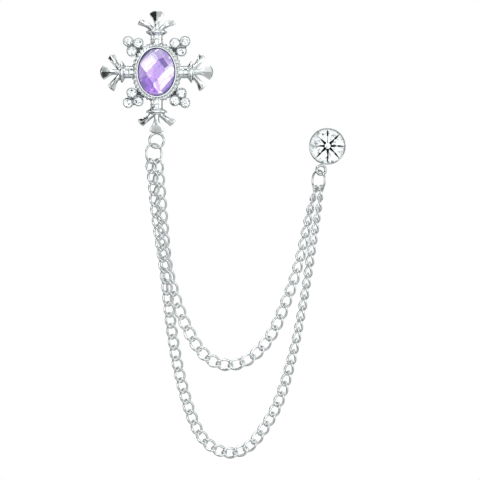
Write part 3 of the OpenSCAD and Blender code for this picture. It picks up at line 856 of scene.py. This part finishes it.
def web_solids(turn, cups):
    """The web between three cups and the plate that joins the inner two to the border."""
    oval = ROPE_OVAL - ALL_ROUND * ROPE_D / 2
    roots = [oval_at(oval, turn + side) for side in (-ROOT_SPREAD, ROOT_SPREAD)]
    near = sorted(cups, key=lambda cup: hypot(*cup))[:2]
    plate = []
    for places, share in ((near, 0.75), (roots, 0.6)):
        plate += [p for at in places for p in disc(*at, WEB_R * share, (0.08, FLOOR_T * 0.8))]
    return [
        hull_solid([p for cup in cups for p in disc(*cup, WEB_R, (0.05, FLOOR_T))]),
        hull_solid(plate),
    ]


def cup_middles(group):
    """The middles of the three cups of a trefoil, from the boxes of their stones."""
    boxes = [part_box(f"rhinestone_{i}") for i in range(3 * group + 1, 3 * group + 4)]
    return [((low.x + high.x) / 2 / MM, (low.z + high.z) / 2 / MM) for low, high in boxes]


def build_brooch(metals):
    def cast(name, solids, metal="cast_silver"):
        piece(name, finished_mesh(name, solids), metals[metal], "silver", "brooch_frame")

    cast("brooch_bezel", [bezel_solid()])
    cast("brooch_rope", [rope_strand(0), rope_strand(1)])
    for turn, side in ((0, "right"), (90, "top"), (180, "left"), (270, "bottom")):
        cast("brooch_arm_" + side, arm_solids(turn))
    loop_high = LOOP_WIRE * 0.3 - ROPE_OVAL[1] - ARM_REACH - FINIAL_L - LOOP_R
    loop = circle(0, loop_high, LOOP_R, PRONG_EDGE, 72)
    # The loop takes the darker ring silver, whose colour holds painted shade
    cast("brooch_loop", [tube(loop, LOOP_WIRE / 2, closed=True)], "ring_silver_painted_shade")
    turns = (TREFOIL_TURN, 180 - TREFOIL_TURN, 180 + TREFOIL_TURN, 360 - TREFOIL_TURN)
    for k in range(4):
        # The cups take a darker copy of the silver, whose colour holds painted shade
        cast(f"brooch_cups_{k + 1}", cup_solids(cup_middles(k)), "cup_silver_painted_shade")
    for k, turn in enumerate(turns):
        # The webs take a near-black silver: painted shade in the gaps between the cups and the
        # rope
        cast(f"brooch_web_{k + 1}", web_solids(turn, cup_middles(k)), "recess_painted_shade")


# Oval stone: each facet is a plane that touches one dome, at the places of a slanted lattice.
# Places are shares of the stone's half width and half height.
LATTICE_MIDDLE = Vector((-0.02, -0.045))
LATTICE_A = Vector((0.605, 0.61))
LATTICE_B = Vector((0.37, -0.46))
BOWL = 0.75
GIRDLE_SLOPE = 0.05

# How light and how warm each facet looks, by its steps along the lattice: foil and cut send
# the lamps back from some and not from others
FACET_TONES = {
    (0, 0): (0.59, 1.0), (0, -1): (0.84, 0.6), (0, 1): (0.9, 0.4), (1, 0): (0.6, 0.75),
    (-1, 0): (0.32, 0.6), (1, 1): (0.8, 0.2), (1, -1): (0.58, 0.5), (-1, -1): (0.55, 0.35),
    (-1, 1): (0.46, 1.1), (0, -2): (0.42, 0.2), (0, 2): (0.3, 0.1), (2, 0): (0.55, 0.4),
    (-2, 0): (0.52, 0.5), (1, -2): (0.46, 0.1), (-1, 2): (0.5, 0.3), (1, 2): (0.42, 0.1),
    (-1, -2): (0.5, 0.2), (2, 1): (0.46, 0.2), (-2, -1): (0.46, 0.4), (-2, 1): (0.5, 0.6),
    (2, -1): (0.52, 0.2),
}

# The tones of the steep girdle facets, and of a facet that lies on no step of the lattice
GIRDLE_TONE = (0.4, 0.3)
OTHER_TONE = (0.46, 0.3)
GIRDLE_FACETS = 48


def lattice_place(m, n):
    return LATTICE_MIDDLE + m * LATTICE_A + n * LATTICE_B


def oval_planes():
    half_x, half_y = STONE_HALF
    planes = []
    for m, n in FACET_TONES:
        place = lattice_place(m, n)
        slope = Vector((place.x / half_x, place.y / half_y)) * (2 * BOWL * STONE_DOME)
        normal = Vector((slope.x, slope.y, 1))
        top = GIRDLE_TOP + STONE_DOME * (1 + BOWL * place.length_squared)
        planes.append((normal, top / normal.length))
    return planes


def facet_tone(normal):
    """The tones of the facet that faces this way."""
    if normal.z < 0.2:
        return GIRDLE_TONE
    place = Vector((normal.x * STONE_HALF.x, normal.y * STONE_HALF.y))
    place /= normal.z * 2 * BOWL * STONE_DOME
    steps = min(FACET_TONES, key=lambda step: (lattice_place(*step) - place).length)
    return FACET_TONES[steps] if (lattice_place(*steps) - place).length < 0.1 else OTHER_TONE


def build_oval_stone(glass):
    planes = oval_planes()
    reach = cos(pi / GIRDLE_FACETS)
    for a in round_angles(GIRDLE_FACETS, 0.5):
        out = Vector((cos(a) / STONE_HALF.x, sin(a) / STONE_HALF.y, 0))
        planes.append((out, reach / out.length))
        steep = Vector((out.x, out.y, GIRDLE_SLOPE))
        planes.append((steep, (reach + GIRDLE_SLOPE * GIRDLE_TOP) / steep.length))
    planes.append((Vector((0, 0, -1)), -GIRDLE_LOW))
    bm = cut_gem(planes, 60)
    lit, warm = (bm.faces.layers.float.new(name) for name in ("lit", "warm"))
    for face in bm.faces:
        face[lit], face[warm] = facet_tone(face.normal)
    piece("oval_gem", gem_mesh("oval_gem", bm), glass, "purple_stone", "oval_stone")


# Clear stones of brilliant cut

def brilliant_planes(radius, girdle_low, girdle_high, table, culet, table_share=0.56):
    """Table, eight main facets, eight stars, girdle and its facets, and the back."""
    planes = [(Vector((0, 0, 1)), table)]
    rise = table - girdle_high
    for k in range(8):
        planes.append(crown_plane(45 * k, radius, girdle_high, table, table_share))
        planes.append(crown_plane(45 * k + 22.5, radius * 0.84, girdle_high + rise * 0.46,
                                  table, table_share * cos(pi / 8)))
    for k in range(16):
        planes.append(crown_plane(22.5 * k + 11.25, radius, girdle_high,
                                  girdle_high + rise * 0.62, 0.76))
        planes.append(crown_plane(22.5 * k + 11.25, radius, -girdle_low, -culet, 0.0))
    for a in round_angles(64):
        planes.append((Vector((cos(a), sin(a), 0)), radius))
    return planes


def crown_plane(turn, radius, low, high, share):
    """The plane through a tangent of the girdle and a tangent of a smaller circle. Heights
    below 0 are those of the stone's back, turned over."""
    a = radians(turn)
    run = radius * (1 - share)
    rise = high - low
    normal = Vector((cos(a) * rise, sin(a) * rise, -run if low < 0 else run))
    return normal, (radius * rise + low * run) / normal.length


def node_middle(node):
    low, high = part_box(node)
    return (low + high) / 2 / MM


def build_clear_stones(small_glass, large_glass):
    rng = random.Random(12)
    for i in range(1, 13):
        name, node = f"rhinestone_gem_{i}", f"rhinestone_{i}"
        middle = node_middle(node)
        bm = cut_gem(brilliant_planes(
            CHIP_R, girdle_low=1.75, girdle_high=2.38, table=CUP_H + 0.55, culet=1.45,
            table_share=0.5,
        ), 20)
        bmesh.ops.rotate(bm, verts=bm.verts, matrix=Matrix.Rotation(rng.uniform(0, 6.28), 3, "Z"))
        piece(name, gem_mesh(name, bm), small_glass, "crystal", node,
              at=Vector((middle.x, 0, middle.z)))
    bm = cut_gem(brilliant_planes(
        STAR_R, girdle_low=1.9, girdle_high=2.3, table=STUD_H + CRYSTAL_RISE, culet=0.75,
    ), 40)
    piece("stud_gem", gem_mesh("stud_gem", bm), large_glass, "crystal", "stud_stone", at=STUD_AT)


# Jump rings

def ring_drop(s):
    """How far below its middle the ring's wire runs, at a distance to the side."""
    radius = (RING_W - RING_WIRE) / 2
    return (RING_H - RING_W) / 2 + sqrt(radius * radius - s * s)


def build_jump_ring(side, turn, metal, opening, steps=96):
    """A ring of round wire, with the hairline where its ends meet."""
    name, node = "ring_" + side, "jump_ring_" + side
    middle = node_middle(node)
    radius, straight = (RING_W - RING_WIRE) / 2, (RING_H - RING_W) / 2
    spin = Matrix.Rotation(radians(turn), 3, "Z")
    path = []
    for k in range(steps + 1):
        share = RING_SPLIT + (1 - 2 * RING_SPLIT) * k / steps
        a = radians(opening) + 2 * pi * share
        high = radius * sin(a) + copysign(straight, sin(a))
        path.append(middle + spin @ Vector((radius * cos(a), 0, high)))
    wire = tube(path, RING_WIRE / 2, reference=spin @ Vector((0, 1, 0)))
    piece(name, finished_mesh(name, [wire]), metal, "silver", node)


# Chains

def route_slope(points, i):
    """How fast the route moves at a point, for each millimetre along it."""
    a, b = points[max(i - 1, 0)], points[min(i + 1, len(points) - 1)]
    run = (points[i] - a).xyz.length + (b - points[i]).xyz.length
    return (b - a) / run


def smooth_route(points):
    """Smooth curves through the points of a route."""
    out = []
    for i in range(len(points) - 1):
        p, q = points[i], points[i + 1]
        run = (q - p).xyz.length
        leave, arrive = route_slope(points, i) * run, route_slope(points, i + 1) * run
        for k in range(ROUTE_STEPS):
            t = k / ROUTE_STEPS
            out.append(
                p * (2 * t ** 3 - 3 * t * t + 1) + leave * (t ** 3 - 2 * t * t + t)
                + q * (3 * t * t - 2 * t ** 3) + arrive * (t ** 3 - t * t)
            )
    return out + [points[-1]]


def joints(route, pitch):
    """The joints between the links, evenly spaced along the route."""
    points = smooth_route(route)
    lengths = [0]
    for a, b in zip(points, points[1:]):
        lengths.append(lengths[-1] + (b - a).xyz.length)
    count = ceil(lengths[-1] / pitch)
    out, i = [], 0
    for k in range(count + 1):
        want = lengths[-1] * k / count
        while i < len(points) - 2 and lengths[i + 1] < want:
            i += 1
        share = (want - lengths[i]) / (lengths[i + 1] - lengths[i])
        out.append(points[i].lerp(points[i + 1], share))
    return out


def link_solid(a, b, length, width, steps=56, sides=12):
    """A flat oval of round wire, twisted so that its ends stand across each other."""
    start, end = a.xyz, b.xyz
    along = (end - start).normalized()
    side = FRONT.cross(along).normalized()
    out = along.cross(side)
    half_l, half_w = (length - LINK_WIRE) / 2, (width - LINK_WIRE) / 2
    twist = radians(LINK_TWIST) / 2
    rings = []
    for k in range(steps):
        c, s = cos(2 * pi * k / steps), sin(2 * pi * k / steps)
        turn = -radians((a.w + b.w) / 2) - twist * c
        across = Vector((0, cos(turn), sin(turn)))
        through = Vector((0, -sin(turn), cos(turn)))
        centre = Vector((half_l * c, 0, 0)) + across * (half_w * s)
        forward = Vector((-half_l * s, 0, 0)) + across * (half_w * c)
        forward = (forward + through * (half_w * s * twist * s)).normalized()
        up = (through - forward * forward.dot(through)).normalized()
        aside = forward.cross(up)
        ring = []
        for w in round_angles(sides):
            p = centre + (up * cos(w) + aside * sin(w)) * (DRAWN_WIRE / 2)
            ring.append((start + end) / 2 + along * p.x + side * p.y + out * p.z)
        rings.append(ring)
    return strip(rings, closed=True)


def ring_joint(side, turn, s, roll):
    """Where a chain's end link hooks over a ring's lower wire."""
    middle = node_middle("jump_ring_" + side)
    a = radians(turn)
    drop = ring_drop(s) - RING_WIRE / 2 - LINK_CLEAR * 0.75
    return Vector((middle.x + s * cos(a), middle.y + s * sin(a), middle.z - drop, roll))


def build_chain(name, route, link, front, metal):
    """A chain from ring to ring. Front is 1 where it hangs in front of the other, else -1."""
    length, width = link
    points = [ring_joint("left", LEFT_RING_TURN, -front * STRAND_PLACE, 0)]
    points += [Vector(row) for row in route]
    points.append(ring_joint("right", RIGHT_RING_TURN, front * STRAND_PLACE, 95))
    places = joints(points, length - 2 * LINK_WIRE - LINK_CLEAR)
    solids = [link_solid(a, b, length, width) for a, b in zip(places, places[1:])]
    links = name + "_links"
    piece(links, finished_mesh(links, solids), metal, "chain_silver", name + "_chain")


# Stud

def stud_point(x, y, z):
    return STUD_AT + face_point(x, y, z)


def build_stud(metal):
    """Bezel cup with a rounded lip, its soldered loop and the hidden post."""
    r = STUD_D / 2
    inside = r - STUD_WALL
    cup = lathe([
        (0.4, STUD_FLOOR), (inside - 0.3, STUD_FLOOR), (inside, STUD_FLOOR + 0.3),
        (inside, STUD_H - 0.12), (inside + 0.03, STUD_H - 0.03), (inside + 0.09, STUD_H),
        (inside + 0.16, STUD_H - 0.02), (inside + 0.23, STUD_H - 0.1),
        (r - 0.06, STUD_H - 0.35), (r - 0.01, STUD_H - 0.9), (r, STUD_H - 1.5), (r, 0.35),
        (r - 0.08, 0.12), (r - 0.3, 0), (POST_D / 2 + 0.5, 0), (POST_D / 2 + 0.2, -0.08),
        (POST_D / 2, -0.3), (POST_D / 2, -POST_L + 1.3), (POST_D / 2 - 0.04, -POST_L + 1),
        (POST_D * 0.25, -POST_L + 0.35), (0.08, -POST_L),
    ], (0, 0), sides=128, place=stud_point)
    turn = -90 - STUD_LOOP_TURN
    reach = r + STUD_LOOP_R + STUD_LOOP_WIRE / 2 + 0.1
    x, y = turned(reach, 0, turn)
    loop = circle(x, y, STUD_LOOP_R, STUD_LOOP_HIGH, 64, stud_point)
    ends = [turned(d, 0, turn) for d in (inside + 0.12, r + 0.05, reach - STUD_LOOP_R)]
    tab = [stud_point(*end, STUD_LOOP_HIGH) for end in ends]
    solids = [cup, tube(loop, STUD_LOOP_WIRE / 2, closed=True), tube(tab, STUD_LOOP_WIRE * 0.42)]
    piece("stud_setting", finished_mesh("stud_setting", solids), metal, "silver", "stud_cup")


# Brooch pin

def bar_solid(*ends, bevel=0.15):
    """A bar with bevelled edges, from its two ends along x, y and z of the face."""
    points = []
    for x, y, z in product(*ends):
        dx, dy, dz = (copysign(bevel, sum(two) / 2 - at) for two, at in zip(ends, (x, y, z)))
        points += [
            face_point(x + dx, y + dy, z), face_point(x + dx, y, z + dz),
            face_point(x, y + dy, z + dz),
        ]
    return hull_solid(points)


def coil_solid(x, z, steps=48):
    """The spring: turns of wire round the rivet."""
    path = []
    for k in range(steps + 1):
        a = 2 * pi * COIL_TURNS * k / steps - pi / 2
        path.append(face_point(
            x + COIL_R * cos(a), COIL_W * k / steps - COIL_W / 2, z + COIL_R * sin(a)
        ))
    return tube(path, COIL_WIRE_R, sides=12, reference=UP + Vector((0.3, 0, 0)))


def wire_solid(x0, x1, z, steps=40):
    """The pin's wire, round and then drawn to a point."""
    def radius(t):
        return PIN_WIRE_R * min(1, max(PIN_TIP, 1 - (t - PIN_POINT_FROM) / PIN_TAPER))

    path = [face_point(x0 + (x1 - x0) * k / steps, 0, z) for k in range(steps + 1)]
    return tube(path, radius, reference=UP)


def hook_solid(x0, x1, back, z, steps=24):
    """The catch: a strip curled over the wire, open to one side."""
    rings = []
    for k in range(steps + 1):
        a = radians(HOOK_FROM + HOOK_RUN * k / steps)
        y, high = HOOK_OVAL[0] * sin(a), z + HOOK_RISE - HOOK_OVAL[1] * cos(a)
        dy, dz = HOOK_T / 2 * sin(a), -HOOK_T / 2 * cos(a)
        rings.append([
            face_point(x, y + s * dy, max(back, high + s * dz))
            for x, s in ((x0, -1), (x1, -1), (x1, 1), (x0, 1))
        ])
    return strip(rings)


def build_pin(metal):
    """Bar, hinge with its rivet and spring, pointed wire and hooked catch."""
    low, high = (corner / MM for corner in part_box("brooch_pin"))
    back, front, half = -high.y, -low.y, high.x
    edge, top = PIN_HALF_W, front - PIN_STEP
    solids = [bar_solid((-half, half), (-edge, edge), (front - PIN_BAR_T, front))]
    for y in (-edge, edge - PIN_LUG_T):
        lug = (-half, -half + PIN_BLOCK), (y, y + PIN_LUG_T), (back, top)
        solids.append(bar_solid(*lug, bevel=0.12))
    wire_z = back + PIN_WIRE_R
    hinge_x, hinge_z = -half + PIN_BLOCK / 2, wire_z + RIVET_RISE
    rivet = [face_point(hinge_x, y, hinge_z) for y in (-edge, edge)]
    catch = (half - PIN_BLOCK, half)
    solids += [
        tube(rivet, RIVET_R, reference=UP), coil_solid(hinge_x, hinge_z),
        wire_solid(hinge_x, half - PIN_BLOCK / 2 - 0.2, wire_z),
        bar_solid(catch, (-edge, edge), (front - PIN_BAR_T - PIN_FOOT, top)),
        hook_solid(*catch, back, wire_z),
    ]
    piece("pin_and_catch", finished_mesh("pin_and_catch", solids), metal, "steel", "brooch_pin")


# Studio

def build_camera():
    data = bpy.data.cameras.new("camera")
    camera = new_object("camera", data)
    camera.location = CAMERA_AT * MM
    camera.rotation_euler = (pi / 2, 0, 0)
    data.sensor_width = SENSOR
    data.lens = SENSOR * (SCALE_DEPTH - CAMERA_AT.y) / VIEW_WIDTH
    data.clip_start = 0.01
    data.clip_end = 50
    bpy.context.scene.camera = camera


def build_floor():
    bm = bmesh.new()
    bmesh.ops.create_circle(bm, cap_ends=True, segments=96, radius=FLOOR_R)
    mesh = new_mesh("floor", bm)
    floor = new_object("floor", mesh)
    floor.location.z = -FLOOR_DROP
    floor.visible_glossy = False
    material, tree, shader = new_material("pale_floor")
    cloud = noise(tree, object_place(tree), 0.004)
    pale = grey_ramp(tree, cloud, [(0.3, 0.9), (0.7, 0.94)])
    fill(tree, shader, {"Base Color": pale, "Roughness": 0.7})
    mesh.materials.append(material)


def build_light(name, at, size, power, aim=(0.028, 0, -0.056), shown=True):
    """A round soft light. One that isn't shown gives light but shows in no reflection."""
    data = bpy.data.lights.new(name, "AREA")
    data.shape = "DISK"
    data.size = size
    data.energy = power
    light = new_object(name, data)
    light.location = at
    light.visible_camera = False
    light.visible_glossy = shown
    way = Vector(aim) - Vector(at)
    light.rotation_euler = way.to_track_quat("-Z", "Y").to_euler()


# The tent that the metal reflects: how light it is from back to front, from bottom to top and
# from left to right, each from 0 to 1
TENT_TONES = [
    (0, 0.8), (0.02, 0.7), (0.045, 0.36), (0.13, 0.38), (0.28, 0.54), (0.4, 0.6),
    (0.5, 0.34), (0.61, 0.25), (0.67, 0.58), (0.73, 0.94), (0.84, 0.96), (0.885, 0.64),
    (0.93, 0.54), (0.965, 0.68), (0.985, 0.88), (1.0, 0.88),
]
RISE_TONES = [
    (0, 0.55), (0.1, 0.5), (0.22, 0.56), (0.32, 0.8), (0.4, 1.0), (0.58, 1.0), (0.66, 0.84),
    (0.76, 0.74), (0.84, 0.64), (0.92, 0.66), (1.0, 0.9),
]
SWING_TONES = [
    (0, 0.9), (0.3, 0.95), (0.6, 1.0), (0.74, 0.9), (0.8, 0.55), (0.86, 0.95), (1.0, 0.9),
]

# Dark flags in the tent: the edges of each across and up, and the share of light it leaves
TENT_FLAGS = [
    ((-0.95, -0.88, -0.44, -0.34), (0.12, 0.2, 0.6, 0.8), 0.02),
    ((-0.42, -0.34, -0.1, -0.02), (0.4, 0.48, 0.7, 0.8), 0.22),
    ((-0.98, -0.9, -0.3, -0.15), (-0.98, -0.9, -0.14, -0.04), 0.5),
    ((-0.8, -0.74, -0.58, -0.5), (-0.2, -0.14, 0.06, 0.14), 0.5),
    ((-0.5, -0.4, -0.12, -0.04), (-0.66, -0.58, -0.44, -0.36), 0.15),
]


def tent_colour(tree):
    """The colour of the tent in each direction, with a bright patch of ceiling."""
    split = add(tree, "SeparateXYZ", {0: add(tree, "TexCoord").outputs["Generated"]})
    x, y, z = split.outputs
    front = times(tree, y, -1.0)
    tent, rise, swing = (
        grey_ramp(tree, spread(tree, way, -1, 1, 0, 1), tones)
        for way, tones in ((front, TENT_TONES), (z, RISE_TONES), (x, SWING_TONES))
    )
    bright = times(tree, times(tree, rise, swing), tent)
    bright = calc(tree, "ADD", bright, spread(tree, z, 0.82, 0.92, 0, 0.6, smooth=True))
    for across, up, left in TENT_FLAGS:
        mask = times(tree, window(tree, x, across), window(tree, z, up))
        bright = times(tree, bright, spread(tree, mask, 0, 1, 1, left))
    return mixed(tree, 1.0, TENT_TINT, bright, blend="MULTIPLY")


def build_studio():
    """A white tent: what the metal reflects runs from white to dark, behind is white."""
    scene = bpy.context.scene
    scene.view_settings.view_transform = "Standard"
    world = bpy.data.worlds.new("studio")
    scene.world = world
    world.use_nodes = True
    tree = world.node_tree
    tree.nodes.clear()
    around = add(tree, "Background", {"Color": tent_colour(tree), "Strength": TENT_POWER})
    behind = add(tree, "Background", {"Color": (1, 1, 1, 1), "Strength": 1.0})
    seen = add(tree, "LightPath").outputs["Is Camera Ray"]
    both = add(tree, "MixShader", {0: seen, 1: around.outputs[0], 2: behind.outputs[0]})
    add(tree, "OutputWorld", {0: both.outputs[0]})
    build_light("key", (-0.35, -0.55, 0.45), size=0.3, power=0.7)
    build_light("fill", (0.6, -0.5, 0.1), size=0.3, power=0.3)
    build_light("front", (0.03, -0.9, -0.03), size=0.5, power=2.5, shown=False)
    build_light("floor_light", (0, 0, -0.3), size=6, power=46, aim=(0, 0, -1), shown=False)


build_camera()
build_floor()
build_studio()
metals = {name: silver(name, *row) for name, row in SILVERS.items()}
build_brooch(metals)
build_oval_stone(purple_glass())
build_clear_stones(chip_glass(), star_glass())
build_pin(satin_steel())
# The rings and the stud take the darker ring silver, whose colour holds painted shade
build_jump_ring("left", LEFT_RING_TURN, metals["ring_silver_painted_shade"], opening=20)
build_jump_ring("right", RIGHT_RING_TURN, metals["ring_silver_painted_shade"], opening=160)
build_chain("inner", INNER_ROUTE, INNER_LINK, -1, metals["wire_silver"])
build_chain("outer", OUTER_ROUTE, OUTER_LINK, 1, metals["wire_silver"])
build_stud(metals["ring_silver_painted_shade"])
